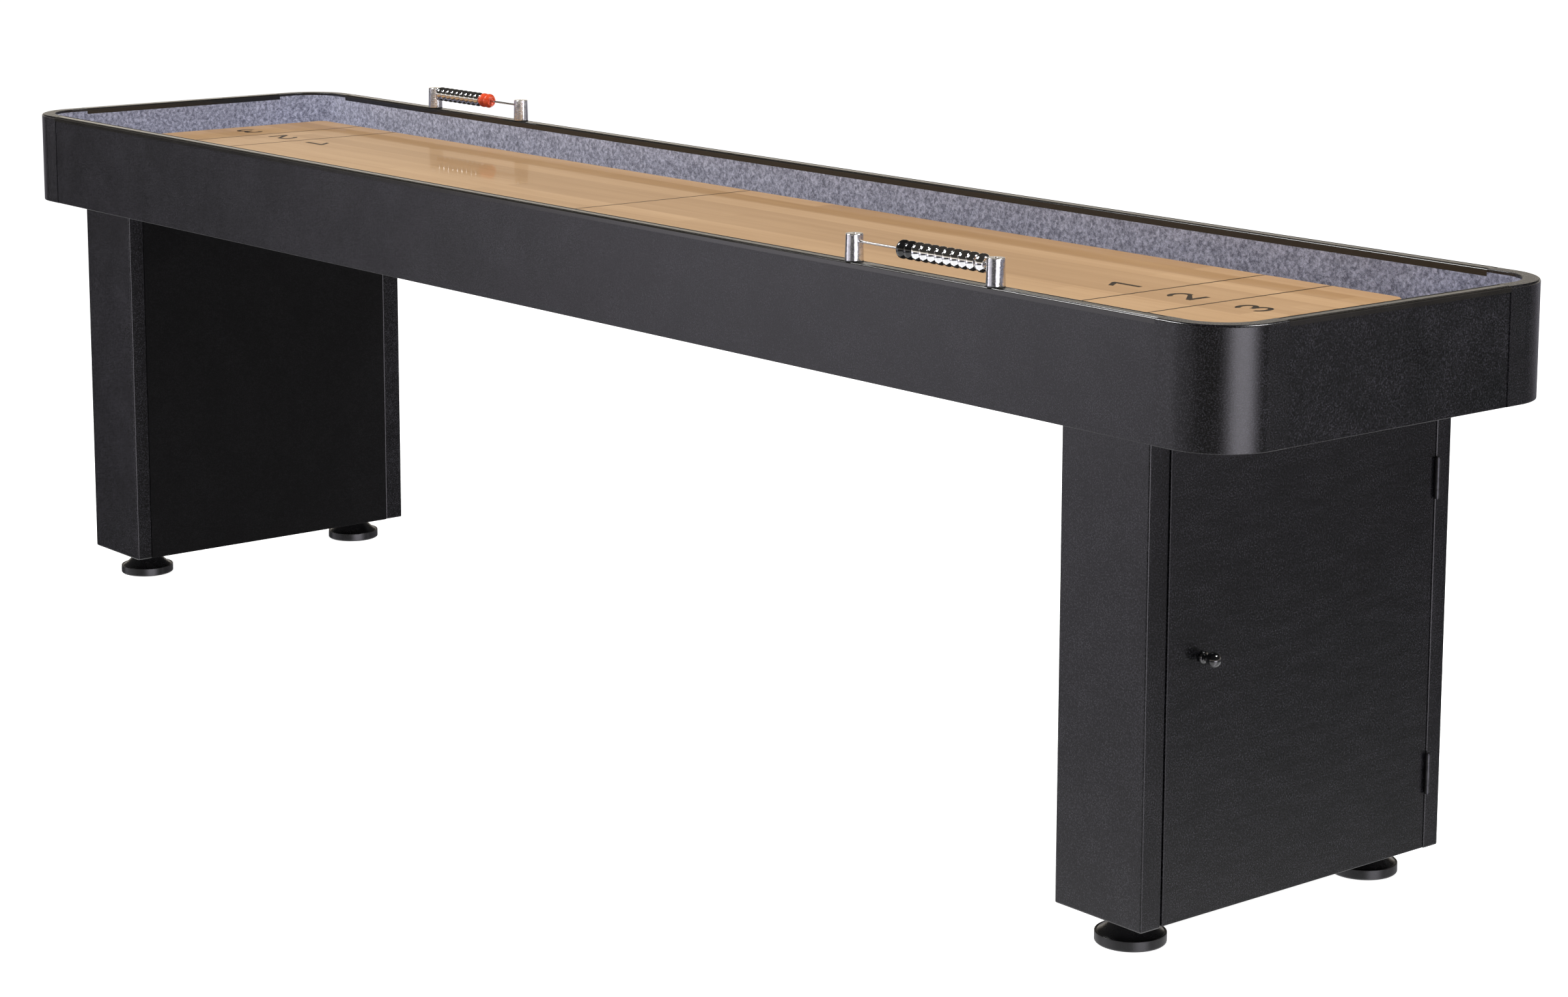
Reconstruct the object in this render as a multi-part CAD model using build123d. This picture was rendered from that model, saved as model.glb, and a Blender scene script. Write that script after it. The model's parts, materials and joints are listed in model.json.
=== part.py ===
from build123d import *
import os

# Shuffleboard table, millimetres. +X runs along the table towards the right-hand end, -Y is the
# long side with the near scorer, +Z is up. The origin is on the floor under the table's centre.
# The table looks the same when it is turned half a turn about the vertical axis.

# ---- overall sizes ----
LENGTH = 2743.0
WIDTH = 584.0
RAIL_TOP = 762.0
APRON_BOTTOM = 619.0
HALF_X = LENGTH / 2
HALF_Y = WIDTH / 2

# ---- rail: apron panel, its plastic cap and the carpet on its inner face ----
CAP_WIDTH = 21.5
CAP_SIDE = 1.2
CAP_ROOF = 2.4
CAP_OUTER_LEG = 6.8
CAP_INNER_LEG = 9.0
CAP_BEAD_RADIUS = 2.0
GROOVE_WIDTH = 0.9
GROOVE_DEPTH = 1.2
CARPET = 1.2
PANEL_OUT_X = HALF_X - CAP_SIDE
PANEL_OUT_Y = HALF_Y - CAP_SIDE
PANEL_IN_X = HALF_X - CAP_WIDTH + CARPET
PANEL_IN_Y = HALF_Y - CAP_WIDTH + CARPET
PANEL_TOP = RAIL_TOP - CAP_ROOF

# ---- rounded corner mouldings ----
CORNER_REACH = 104.0
CORNER_RADIUS = 78.0
CORNER_EDGE = 3.0
CORNER_LIP = 4.0
SEAM_X = HALF_X - CORNER_REACH
SEAM_Y = HALF_Y - CORNER_REACH

# ---- cabinet floor, gutter and playfield ----
FLOOR_THICK = 15.0
FLOOR_TOP = APRON_BOTTOM + FLOOR_THICK
GUTTER_CARPET = 3.0
BOARD_TOP = 728.0
BOARD_THICK = 38.0
BOARD_LENGTH = 2424.0
BOARD_WIDTH = 381.0
BOARD_CORNER = 14.0
BOARD_ARRIS = 1.5
RISER_WIDTH = 38.0
RISER_LENGTH = 2360.0
RISER_Y = 150.0
RISER_CROSS_X = (-1100.0, -550.0, 0.0, 550.0, 1100.0)

# ---- score lines and numbers, a thin printed film ----
FILM = 0.12
LINE_WIDTH = 3.0
LINE_X = (-1095.0, -985.0, -36.0, 985.0, 1095.0)
LINE_SPAN = BOARD_WIDTH - 4.0
DIGIT_X = (932.0, 1040.0, 1151.0)
DIGIT_Y = -8.0
DIGIT_STROKE = 7.0

# ---- scorers: posts, rod and beads ----
SCORER_Y = HALF_Y - 11.0
POST_X = (749.0, 1000.0)
POST_RADIUS = 11.8
POST_TOP_RADIUS = 10.9
POST_HEIGHT = 34.0
POST_BEVEL = 0.8
POST_HOLE_RADIUS = 2.0
POST_HOLE_DEPTH = 4.0
STUD_RADIUS = 3.0
STUD_LENGTH = 32.0
ROD_RADIUS = 1.5
ROD_Z = RAIL_TOP + 25.0
ROD_ENTRY = 6.0
BEAD_COUNT = 11
CHROME_BEADS = 9
BEAD_RADIUS = 11.5
BEAD_FACE_RADIUS = 8.8
BEAD_RIM = 6.4
BEAD_LENGTH = 13.3
BEAD_PITCH = 13.6
BEAD_BORE = ROD_RADIUS + 0.06
FIRST_BEAD = 21.4
BEAD_SPLIT = 2.6

# ---- pedestals ----
PEDESTAL_IN = 1090.0
PEDESTAL_OUT = 1232.0
PEDESTAL_HALF_Y = 258.5
PEDESTAL_BOTTOM = 39.5
LATCH_SIDE_THICK = 32.5
HINGE_SIDE_THICK = 26.5
PANEL_THICK = 18.0
BOTTOM_THICK = 30.0
SHELF_THICK = 16.0
SHELF_Z = 330.0
SHELF_SETBACK = 3.0
CORE_OUT = PEDESTAL_OUT - PANEL_THICK - 1.0
LATCH_Y = -PEDESTAL_HALF_Y + LATCH_SIDE_THICK
HINGE_Y = PEDESTAL_HALF_Y - HINGE_SIDE_THICK

# ---- doors ----
DOOR_GAP = 2.0
DOOR_BOTTOM = PEDESTAL_BOTTOM + 1.5
DOOR_TOP = APRON_BOTTOM - 2.5
DOOR_EDGE = 0.8
KNOB_Y = -167.5
KNOB_Z = 351.0
KNOB_BALL_RADIUS = 9.75
KNOB_BALL_OUT = 17.0
KNOB_NECK_RADIUS = 4.6
KNOB_FOOT_RADIUS = 7.0
KNOB_FOOT_HEIGHT = 2.6

# ---- butt hinges ----
HINGE_AXIS_OUT = 3.5
HINGE_AXIS_X = PEDESTAL_OUT + HINGE_AXIS_OUT
HINGE_AXIS_Y = HINGE_Y - DOOR_GAP / 2
HINGE_BOTTOMS = (112.0, 482.0)
HINGE_HEIGHT = 49.0
KNUCKLE_RADIUS = 3.2
END_KNUCKLE = 10.4
KNUCKLE_GAP = 0.3
LEAF_THICK = 0.9
LEAF_LENGTH = 27.0
LEAF_CLEAR = 0.1
PIN_RADIUS = 1.5
PIN_RUNNING_CLEARANCE = 0.05
PIN_HEAD_RADIUS = 2.6
PIN_HEAD_HEIGHT = 1.2

# ---- door catch and strike ----
CATCH_Y = (-215.0, -165.0)
CATCH_HEIGHT = 16.0
CATCH_DEPTH = 22.0
STRIKE_THICK = 1.6
STRIKE_MARGIN = 4.0
STRIKE_AIR = 0.3

# ---- levelling feet ----
FOOT_X = 1161.0
FOOT_Y = 203.0
FOOT_RADIUS = 42.5
FOOT_RIM = 12.0
FOOT_EDGE = 3.0
FOOT_HUB_RADIUS = 20.0
FOOT_HUB_TOP = 34.0
STEM_RADIUS = 5.0
STEM_TOP = 60.0
STEM_CLEARANCE = 0.06
INSERT_RADIUS = 7.0
INSERT_LENGTH = 20.0
INSERT_HOLE_DEPTH = 27.0

HALF_TURN = Rot(0, 0, 180)


def block(x0, x1, y0, y1, z0, z1):
    """A box given by its lowest and highest corners."""
    centre = Pos((x0 + x1) / 2, (y0 + y1) / 2, (z0 + z1) / 2)
    return centre * Box(x1 - x0, y1 - y0, z1 - z0)


def rod_z(x, y, z0, z1, radius):
    """A vertical cylinder."""
    return Pos(x, y, (z0 + z1) / 2) * Cylinder(radius, z1 - z0)


def rod_x(x0, x1, y, z, radius):
    """A cylinder along X."""
    return Pos((x0 + x1) / 2, y, z) * Rot(0, 90, 0) * Cylinder(radius, x1 - x0)


def rounded_plate(half_x, half_y, radius, z0, z1):
    """A flat plate with rounded vertical corners."""
    outline = RectangleRounded(2 * half_x, 2 * half_y, radius)
    return Pos(0, 0, z0) * extrude(outline, z1 - z0)


def save(node, solids):
    """Write one node as a STEP file holding its separate solids."""
    pieces = []
    for shape in solids:
        pieces.extend(shape.solids())
    export_step(Compound(pieces), f"parts/{node}.step")


# ---- rail: aprons, corner mouldings, caps ----

def long_apron():
    """The front apron, with the stud holes of its scorer."""
    panel = block(-SEAM_X, SEAM_X, -PANEL_OUT_Y, -PANEL_IN_Y, APRON_BOTTOM, PANEL_TOP)
    for x in POST_X:
        panel -= rod_z(x, -SCORER_Y, RAIL_TOP - STUD_LENGTH, PANEL_TOP, STUD_RADIUS)
    return panel


def end_apron():
    """The right-hand end apron."""
    return block(PANEL_IN_X, PANEL_OUT_X, -SEAM_Y, SEAM_Y, APRON_BOTTOM, PANEL_TOP)


def corner_section(outer):
    """Moulding section in XZ with its outer face at x = outer: rounded top edge, inner lip."""
    inner = outer - CAP_WIDTH
    rounding = ThreePointArc(
        (outer, RAIL_TOP - CORNER_EDGE),
        (outer - 0.29289 * CORNER_EDGE, RAIL_TOP - 0.29289 * CORNER_EDGE),
        (outer - CORNER_EDGE, RAIL_TOP),
    )
    rest = Polyline(
        (outer - CORNER_EDGE, RAIL_TOP),
        (inner, RAIL_TOP),
        (inner, RAIL_TOP - CORNER_LIP),
        (inner + CARPET, RAIL_TOP - CORNER_LIP),
        (inner + CARPET, APRON_BOTTOM),
        (outer, APRON_BOTTOM),
        (outer, RAIL_TOP - CORNER_EDGE),
    )
    return Plane.XZ * make_face(rounding.edges() + rest.edges())


def corner_moulding():
    """The moulding at +X +Y: a quarter bend with a short straight leg on each side."""
    leg = CORNER_REACH - CORNER_RADIUS
    section = corner_section(CORNER_RADIUS)
    bend = revolve(section, Axis.Z, 90)
    leg_x = extrude(section, leg, dir=(0, -1, 0))
    leg_y = extrude(Rot(0, 0, 90) * section, leg, dir=(-1, 0, 0))
    centre = Pos(HALF_X - CORNER_RADIUS, HALF_Y - CORNER_RADIUS, 0)
    return centre * (bend + leg_x + leg_y)


def cap_section():
    """Cap section in XZ across the rail: a channel with a groove and a bead along each edge."""
    radius = CAP_BEAD_RADIUS
    bead_mid = RAIL_TOP - radius
    groove_z = RAIL_TOP - GROOVE_DEPTH
    bead_in = radius + (radius ** 2 - (radius - GROOVE_DEPTH) ** 2) ** 0.5
    groove_in = bead_in + GROOVE_WIDTH
    diagonal = radius * 0.5 ** 0.5
    edges = []
    for sign, leg in ((-1, CAP_OUTER_LEG), (1, CAP_INNER_LEG)):
        side = sign * CAP_WIDTH / 2
        crown = side - sign * radius
        outer = ThreePointArc((side, bead_mid), (crown + sign * diagonal, bead_mid + diagonal),
                              (crown, RAIL_TOP))
        inner = ThreePointArc((crown, RAIL_TOP), (crown - sign * diagonal, bead_mid + diagonal),
                              (side - sign * bead_in, groove_z))
        groove = Polyline(
            (side - sign * bead_in, groove_z),
            (side - sign * groove_in, groove_z),
            (side - sign * (groove_in + GROOVE_DEPTH), RAIL_TOP),
            (0, RAIL_TOP),
        )
        wall = Polyline(
            (side, bead_mid),
            (side, RAIL_TOP - leg),
            (side - sign * CAP_SIDE, RAIL_TOP - leg),
            (side - sign * CAP_SIDE, PANEL_TOP),
            (0, PANEL_TOP),
        )
        edges += outer.edges() + inner.edges() + groove.edges() + wall.edges()
    return Plane.XZ * make_face(edges)


def long_cap():
    """The front rail cap, drilled for the scorer's studs."""
    section = Rot(0, 0, 90) * cap_section()
    strip = extrude(section, SEAM_X, dir=(1, 0, 0), both=True)
    strip = Pos(0, -HALF_Y + CAP_WIDTH / 2, 0) * strip
    for x in POST_X:
        strip -= rod_z(x, -SCORER_Y, PANEL_TOP, RAIL_TOP, STUD_RADIUS)
    return strip


def end_cap():
    """The cap on the right-hand end rail."""
    section = Rot(0, 0, 180) * cap_section()
    strip = extrude(section, SEAM_Y, dir=(0, 1, 0), both=True)
    return Pos(HALF_X - CAP_WIDTH / 2, 0, 0) * strip


# ---- floor, carpets, playfield ----

def cabinet_floor():
    """The panel that closes the apron frame from below."""
    radius = CORNER_RADIUS - CAP_WIDTH + CARPET
    return rounded_plate(PANEL_IN_X, PANEL_IN_Y, radius, APRON_BOTTOM, FLOOR_TOP)


def gutter_carpet():
    """The carpet on the gutter floor, cut out round the risers."""
    radius = CORNER_RADIUS - CAP_WIDTH + CARPET
    top = FLOOR_TOP + GUTTER_CARPET
    sheet = rounded_plate(PANEL_IN_X, PANEL_IN_Y, radius, FLOOR_TOP, top)
    half_y = RISER_Y + RISER_WIDTH / 2
    return sheet - block(-RISER_LENGTH / 2, RISER_LENGTH / 2, -half_y, half_y, FLOOR_TOP, top)


def wall_carpet():
    """The carpet on the rails' inner faces, up to the caps and to the corner lips."""
    radius = CORNER_RADIUS - CAP_WIDTH
    low = FLOOR_TOP + GUTTER_CARPET
    high = RAIL_TOP - CORNER_LIP
    under_cap = RAIL_TOP - CAP_INNER_LEG
    ring = rounded_plate(PANEL_IN_X, PANEL_IN_Y, radius + CARPET, low, high)
    ring -= rounded_plate(PANEL_IN_X - CARPET, PANEL_IN_Y - CARPET, radius, low, high)
    ring -= block(-SEAM_X, SEAM_X, -HALF_Y, HALF_Y, under_cap, high)
    ring -= block(-HALF_X, HALF_X, -SEAM_Y, SEAM_Y, under_cap, high)
    return ring


def playfield_board():
    """The butcher-block board, with rounded corners and a small arris round its top."""
    half_x = BOARD_LENGTH / 2
    half_y = BOARD_WIDTH / 2
    board = rounded_plate(half_x, half_y, BOARD_CORNER, BOARD_TOP - BOARD_THICK, BOARD_TOP)
    return chamfer(board.faces().sort_by(Axis.Z)[-1].edges(), BOARD_ARRIS)


def playfield_risers():
    """Two lengthwise stringers and the battens between them."""
    low = FLOOR_TOP
    high = BOARD_TOP - BOARD_THICK
    half = RISER_WIDTH / 2
    risers = []
    for side in (-1, 1):
        y = side * RISER_Y
        risers.append(block(-RISER_LENGTH / 2, RISER_LENGTH / 2, y - half, y + half, low, high))
    for x in RISER_CROSS_X:
        risers.append(block(x - half, x + half, -RISER_Y + half, RISER_Y - half, low, high))
    return risers


# ---- score lines and numbers ----

def bowl(centre_v, radius_u, radius_v, start, sweep):
    """A curved stroke of a number: the band between two elliptical arcs."""
    centre = (0, centre_v)
    inner_u = radius_u - DIGIT_STROKE
    inner_v = radius_v - DIGIT_STROKE
    outer = EllipticalCenterArc(centre, radius_u, radius_v, start, arc_size=sweep)
    inner = EllipticalCenterArc(centre, inner_u, inner_v, start, arc_size=sweep)
    first = Line(outer @ 0, inner @ 0)
    last = Line(outer @ 1, inner @ 1)
    return make_face(outer.edges() + first.edges() + inner.edges() + last.edges())


def polygon(*points):
    """A flat face through the given corners."""
    return make_face(Polyline(*points, close=True).edges())


def number(*strokes):
    """One number of the film's thickness, fused from its flat strokes."""
    solid = extrude(strokes[0], FILM)
    for stroke in strokes[1:]:
        solid += extrude(stroke, FILM)
    return solid


def number_one():
    """Stem and flag of the number 1."""
    return number(polygon((12, -24), (12, 24), (7, 24), (-12, 11), (-12, 3), (5, 14), (5, -24)))


def number_two():
    """Top bowl, diagonal and foot of the number 2."""
    top = bowl(9, 17, 15, -30, 195)
    diagonal = polygon((14.2, 3), (-9, -20), (-16, -20), (-16, -16), (8, 4), (12.5, 6.5))
    foot = polygon((-17.5, -24), (17.5, -24), (17.5, -17), (-17.5, -17))
    return number(top, diagonal, foot)


def number_three():
    """The two bowls and the short middle bar of the number 3."""
    upper = bowl(11.4, 16, 12.6, -80, 245)
    lower = bowl(-10.5, 17.5, 13.5, -165, 245)
    middle = polygon((-4, -3), (4, -3), (4, 4), (-4, 4))
    return number(upper, lower, middle)


def score_markings():
    """Lines across the board, and the numbers of both ends."""
    marks = []
    for x in LINE_X:
        half = LINE_WIDTH / 2
        marks.append(block(x - half, x + half, -LINE_SPAN / 2, LINE_SPAN / 2, BOARD_TOP, BOARD_TOP + FILM))
    for x, shape in zip(DIGIT_X, (number_one(), number_two(), number_three())):
        mark = Pos(x, DIGIT_Y, BOARD_TOP) * Rot(0, 0, 90) * shape
        marks += [mark, HALF_TURN * mark]
    return marks


# ---- scorers ----

def scorer_post(x, towards):
    """A slightly tapered post on the front rail, drilled on the side that faces the other post."""
    middle = RAIL_TOP + POST_HEIGHT / 2
    body = Pos(x, -SCORER_Y, middle) * Cone(POST_RADIUS, POST_TOP_RADIUS, POST_HEIGHT)
    body = chamfer(body.faces().sort_by(Axis.Z)[-1].edges(), POST_BEVEL)
    top = RAIL_TOP + POST_HEIGHT
    body -= rod_z(x, -SCORER_Y, top - POST_HOLE_DEPTH, top, POST_HOLE_RADIUS)
    far_end = x - towards * ROD_ENTRY
    near_end = x + towards * (POST_RADIUS + 1)
    body -= rod_x(min(far_end, near_end), max(far_end, near_end), -SCORER_Y, ROD_Z, ROD_RADIUS)
    stud = rod_z(x, -SCORER_Y, RAIL_TOP - STUD_LENGTH, RAIL_TOP, STUD_RADIUS)
    return body + stud


def scorer_rod():
    """The rod of the front scorer, held in both posts."""
    return rod_x(POST_X[0] - ROD_ENTRY, POST_X[1] + ROD_ENTRY, -SCORER_Y, ROD_Z, ROD_RADIUS)


def scorer_bead(index, split):
    """Bead of the front scorer, counted from 0 at the outer post: a wheel with sloped shoulders and a bore.

    The beads lie side by side, with one wider gap after the first so many of them, given by split.
    """
    half = BEAD_LENGTH / 2
    rim = BEAD_RIM / 2
    section = Polyline(
        (-half, BEAD_BORE), (half, BEAD_BORE), (half, BEAD_FACE_RADIUS), (rim, BEAD_RADIUS),
        (-rim, BEAD_RADIUS), (-half, BEAD_FACE_RADIUS), (-half, BEAD_BORE),
    )
    x = POST_X[1] - FIRST_BEAD - index * BEAD_PITCH
    if index >= split:
        x -= BEAD_SPLIT
    return Pos(x, -SCORER_Y, ROD_Z) * revolve(make_face(section), Axis.X, 360)


# ---- right-hand pedestal ----

def pedestal_sides():
    """The latch-side and hinge-side panels, whose edges show as the door's frame."""
    latch = block(PEDESTAL_IN, PEDESTAL_OUT, -PEDESTAL_HALF_Y, LATCH_Y, PEDESTAL_BOTTOM, APRON_BOTTOM)
    hinge = block(PEDESTAL_IN, PEDESTAL_OUT, HINGE_Y, PEDESTAL_HALF_Y, PEDESTAL_BOTTOM, APRON_BOTTOM)
    return [latch, hinge]


def pedestal_inner_panel():
    """The panel that faces the middle of the table."""
    core_in = PEDESTAL_IN + PANEL_THICK
    return block(PEDESTAL_IN, core_in, LATCH_Y, HINGE_Y, PEDESTAL_BOTTOM, APRON_BOTTOM)


def pedestal_shelves():
    """Bottom with blind holes for the inserts, shelf and top."""
    core_in = PEDESTAL_IN + PANEL_THICK
    bottom_top = PEDESTAL_BOTTOM + BOTTOM_THICK
    bottom = block(core_in, CORE_OUT, LATCH_Y, HINGE_Y, PEDESTAL_BOTTOM, bottom_top)
    for side in (-1, 1):
        y = side * FOOT_Y
        bottom -= rod_z(FOOT_X, y, PEDESTAL_BOTTOM, PEDESTAL_BOTTOM + INSERT_HOLE_DEPTH, INSERT_RADIUS)
    shelf = block(core_in, CORE_OUT - SHELF_SETBACK, LATCH_Y, HINGE_Y, SHELF_Z, SHELF_Z + SHELF_THICK)
    top = block(core_in, CORE_OUT, LATCH_Y, HINGE_Y, APRON_BOTTOM - PANEL_THICK, APRON_BOTTOM)
    return [bottom, shelf, top]


def leveler_inserts():
    """The threaded inserts of the right-hand pedestal, as plain sleeves."""
    top = PEDESTAL_BOTTOM + INSERT_LENGTH
    inserts = []
    for side in (-1, 1):
        y = side * FOOT_Y
        sleeve = rod_z(FOOT_X, y, PEDESTAL_BOTTOM, top, INSERT_RADIUS)
        inserts.append(sleeve - rod_z(FOOT_X, y, PEDESTAL_BOTTOM, top, STEM_RADIUS + STEM_CLEARANCE))
    return inserts


def door():
    """The inset door, with lightly eased edges."""
    panel = block(PEDESTAL_OUT - PANEL_THICK, PEDESTAL_OUT, LATCH_Y + DOOR_GAP, HINGE_Y - DOOR_GAP,
                  DOOR_BOTTOM, DOOR_TOP)
    return chamfer(panel.faces().sort_by(Axis.X)[-1].edges(), DOOR_EDGE)


def door_knob():
    """A ball knob turned about its own axis: foot, neck and ball."""
    neck_height = KNOB_BALL_OUT - (KNOB_BALL_RADIUS ** 2 - KNOB_NECK_RADIUS ** 2) ** 0.5
    section = Polyline(
        (neck_height, KNOB_NECK_RADIUS),
        (KNOB_FOOT_HEIGHT, KNOB_NECK_RADIUS),
        (KNOB_FOOT_HEIGHT, KNOB_FOOT_RADIUS),
        (0, KNOB_FOOT_RADIUS),
        (0, 0),
        (KNOB_BALL_OUT + KNOB_BALL_RADIUS, 0),
    ).edges()
    section += ThreePointArc(
        (KNOB_BALL_OUT + KNOB_BALL_RADIUS, 0),
        (KNOB_BALL_OUT, KNOB_BALL_RADIUS),
        (neck_height, KNOB_NECK_RADIUS),
    ).edges()
    return Pos(PEDESTAL_OUT, KNOB_Y, KNOB_Z) * revolve(make_face(section), Axis.X, 360)


def hinge_leaf(bottom, side, knuckles, bore):
    """A leaf with its knuckles. side is +1 for the leaf on the frame and -1 for the door's."""
    top = bottom + HINGE_HEIGHT
    face_y = HINGE_AXIS_Y + side * DOOR_GAP / 2
    low_y = min(face_y, face_y - side * LEAF_THICK)
    plate_out = HINGE_AXIS_X - KNUCKLE_RADIUS - LEAF_CLEAR
    leaf = block(plate_out - LEAF_LENGTH, plate_out, low_y, low_y + LEAF_THICK, bottom, top)
    for z0, z1 in knuckles:
        leaf += block(plate_out, HINGE_AXIS_X, low_y, low_y + LEAF_THICK, bottom + z0, bottom + z1)
        leaf += rod_z(HINGE_AXIS_X, HINGE_AXIS_Y, bottom + z0, bottom + z1, KNUCKLE_RADIUS)
    return leaf - rod_z(HINGE_AXIS_X, HINGE_AXIS_Y, bottom, top, bore)


def frame_leaf(bottom):
    """The leaf on the pedestal side: the two end knuckles, tight on the pin."""
    ends = ((0, END_KNUCKLE), (HINGE_HEIGHT - END_KNUCKLE, HINGE_HEIGHT))
    return hinge_leaf(bottom, 1, ends, PIN_RADIUS)


def door_leaf(bottom):
    """The leaf on the door: the long middle knuckle, free on the pin."""
    low = END_KNUCKLE + KNUCKLE_GAP
    return hinge_leaf(bottom, -1, ((low, HINGE_HEIGHT - low),), PIN_RADIUS + PIN_RUNNING_CLEARANCE)


def hinge_pin(bottom):
    """A pin with a flat head above and below the knuckles."""
    top = bottom + HINGE_HEIGHT
    pin = rod_z(HINGE_AXIS_X, HINGE_AXIS_Y, bottom, top, PIN_RADIUS)
    for z in (bottom - PIN_HEAD_HEIGHT, top):
        pin += rod_z(HINGE_AXIS_X, HINGE_AXIS_Y, z, z + PIN_HEAD_HEIGHT, PIN_HEAD_RADIUS)
    return pin


def door_catch():
    """The magnetic catch under the pedestal's top panel."""
    front = PEDESTAL_OUT - PANEL_THICK - STRIKE_THICK - STRIKE_AIR
    high = APRON_BOTTOM - PANEL_THICK
    return block(front - CATCH_DEPTH, front, CATCH_Y[0], CATCH_Y[1], high - CATCH_HEIGHT, high)


def door_strike():
    """The steel plate on the door's inner face that the catch holds."""
    face = PEDESTAL_OUT - PANEL_THICK
    high = APRON_BOTTOM - PANEL_THICK - STRIKE_MARGIN / 2
    low = high - CATCH_HEIGHT + STRIKE_MARGIN
    return block(face - STRIKE_THICK, face, CATCH_Y[0] + STRIKE_MARGIN, CATCH_Y[1] - STRIKE_MARGIN,
                 low, high)


def leveler(side):
    """A foot of the right-hand pedestal: pad, cone and stem in one turned profile."""
    edge = 0.29289 * FOOT_EDGE
    section = Polyline((0, 0), (FOOT_RADIUS - FOOT_EDGE, 0)).edges()
    section += ThreePointArc((FOOT_RADIUS - FOOT_EDGE, 0), (FOOT_RADIUS - edge, edge),
                             (FOOT_RADIUS, FOOT_EDGE)).edges()
    section += Line((FOOT_RADIUS, FOOT_EDGE), (FOOT_RADIUS, FOOT_RIM - FOOT_EDGE)).edges()
    section += ThreePointArc((FOOT_RADIUS, FOOT_RIM - FOOT_EDGE),
                             (FOOT_RADIUS - edge, FOOT_RIM - edge),
                             (FOOT_RADIUS - FOOT_EDGE, FOOT_RIM)).edges()
    section += Polyline(
        (FOOT_RADIUS - FOOT_EDGE, FOOT_RIM),
        (FOOT_HUB_RADIUS, FOOT_HUB_TOP),
        (STEM_RADIUS, FOOT_HUB_TOP),
        (STEM_RADIUS, STEM_TOP),
        (0, STEM_TOP),
        (0, 0),
    ).edges()
    turned = revolve(Plane.XZ * make_face(section), Axis.Z, 360)
    return Pos(FOOT_X, side * FOOT_Y, 0) * turned


def both_ends(solids):
    """The given solids and their copies at the other end of the table."""
    return list(solids) + [HALF_TURN * shape for shape in solids]


def write_table():
    """The apron frame, the playfield and everything fixed to them."""
    save("front_apron", [long_apron()])
    save("rear_apron", [HALF_TURN * long_apron()])
    save("right_end_apron", [end_apron()])
    save("left_end_apron", [HALF_TURN * end_apron()])
    corner = corner_moulding()
    near_corner = mirror(corner, about=Plane.XZ)
    save("corner_mouldings", both_ends([corner, near_corner]))
    save("rail_caps", both_ends([long_cap(), end_cap()]))
    save("cabinet_floor", [cabinet_floor()])
    save("gutter_carpet", [gutter_carpet()])
    save("wall_carpet", [wall_carpet()])
    save("playfield_board", [playfield_board()])
    save("playfield_risers", playfield_risers())
    save("score_markings", score_markings())
    posts = [scorer_post(POST_X[0], 1), scorer_post(POST_X[1], -1)]
    save("scorer_posts", both_ends(posts))
    save("scorer_rods", both_ends([scorer_rod()]))


def write_beads():
    """The beads on both rods, numbered from the outer post within their colour."""
    scorers = ((Rot(0, 0, 0), "front", "black", 1), (HALF_TURN, "rear", "red", CHROME_BEADS))
    for turn, scorer, accent, split in scorers:
        for index in range(BEAD_COUNT):
            colour = "chrome" if index < CHROME_BEADS else accent
            number = index + 1 if index < CHROME_BEADS else index + 1 - CHROME_BEADS
            save(f"{scorer}_scorer_{colour}_bead_{number}", [turn * scorer_bead(index, split)])


def write_pedestals():
    """Both pedestals with their doors, hinges and feet. The left one is the right one turned round."""
    for turn, end in ((Rot(0, 0, 0), "right"), (HALF_TURN, "left")):
        save(f"{end}_pedestal_sides", [turn * shape for shape in pedestal_sides()])
        save(f"{end}_pedestal_inner_panel", [turn * pedestal_inner_panel()])
        save(f"{end}_pedestal_shelves", [turn * shape for shape in pedestal_shelves()])
        save(f"{end}_door", [turn * door()])
        save(f"{end}_door_knob", [turn * door_knob()])
        save(f"{end}_door_strike", [turn * door_strike()])
        save(f"{end}_door_hinge_leaves", [turn * door_leaf(z) for z in HINGE_BOTTOMS])
    save("front_right_leveler", [leveler(-1)])
    save("rear_right_leveler", [leveler(1)])
    save("rear_left_leveler", [HALF_TURN * leveler(-1)])
    save("front_left_leveler", [HALF_TURN * leveler(1)])
    save("leveler_inserts", both_ends(leveler_inserts()))
    save("hinge_frame_leaves", both_ends([frame_leaf(z) for z in HINGE_BOTTOMS]))
    save("hinge_pins", both_ends([hinge_pin(z) for z in HINGE_BOTTOMS]))
    save("door_catches", both_ends([door_catch()]))


os.makedirs("parts", exist_ok=True)
write_table()
write_beads()
write_pedestals()
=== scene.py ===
import json
import math

import bmesh
import bpy
from mathutils import Matrix, Vector, noise


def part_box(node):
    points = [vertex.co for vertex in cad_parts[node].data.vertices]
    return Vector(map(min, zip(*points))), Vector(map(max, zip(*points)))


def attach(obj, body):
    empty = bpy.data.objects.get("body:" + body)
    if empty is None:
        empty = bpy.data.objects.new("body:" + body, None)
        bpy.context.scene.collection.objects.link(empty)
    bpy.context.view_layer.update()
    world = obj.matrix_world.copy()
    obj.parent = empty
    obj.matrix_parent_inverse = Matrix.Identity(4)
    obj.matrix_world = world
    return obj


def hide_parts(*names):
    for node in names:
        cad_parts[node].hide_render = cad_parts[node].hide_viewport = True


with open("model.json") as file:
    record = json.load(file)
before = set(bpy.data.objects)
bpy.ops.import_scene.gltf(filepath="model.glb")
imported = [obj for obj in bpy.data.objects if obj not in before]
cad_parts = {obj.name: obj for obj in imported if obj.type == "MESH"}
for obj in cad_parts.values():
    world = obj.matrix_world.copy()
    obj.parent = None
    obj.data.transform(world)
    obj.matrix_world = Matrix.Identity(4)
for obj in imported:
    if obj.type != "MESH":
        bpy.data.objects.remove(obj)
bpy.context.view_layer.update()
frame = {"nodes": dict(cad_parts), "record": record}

MM = 0.001
CABINET = "cabinet"

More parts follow.
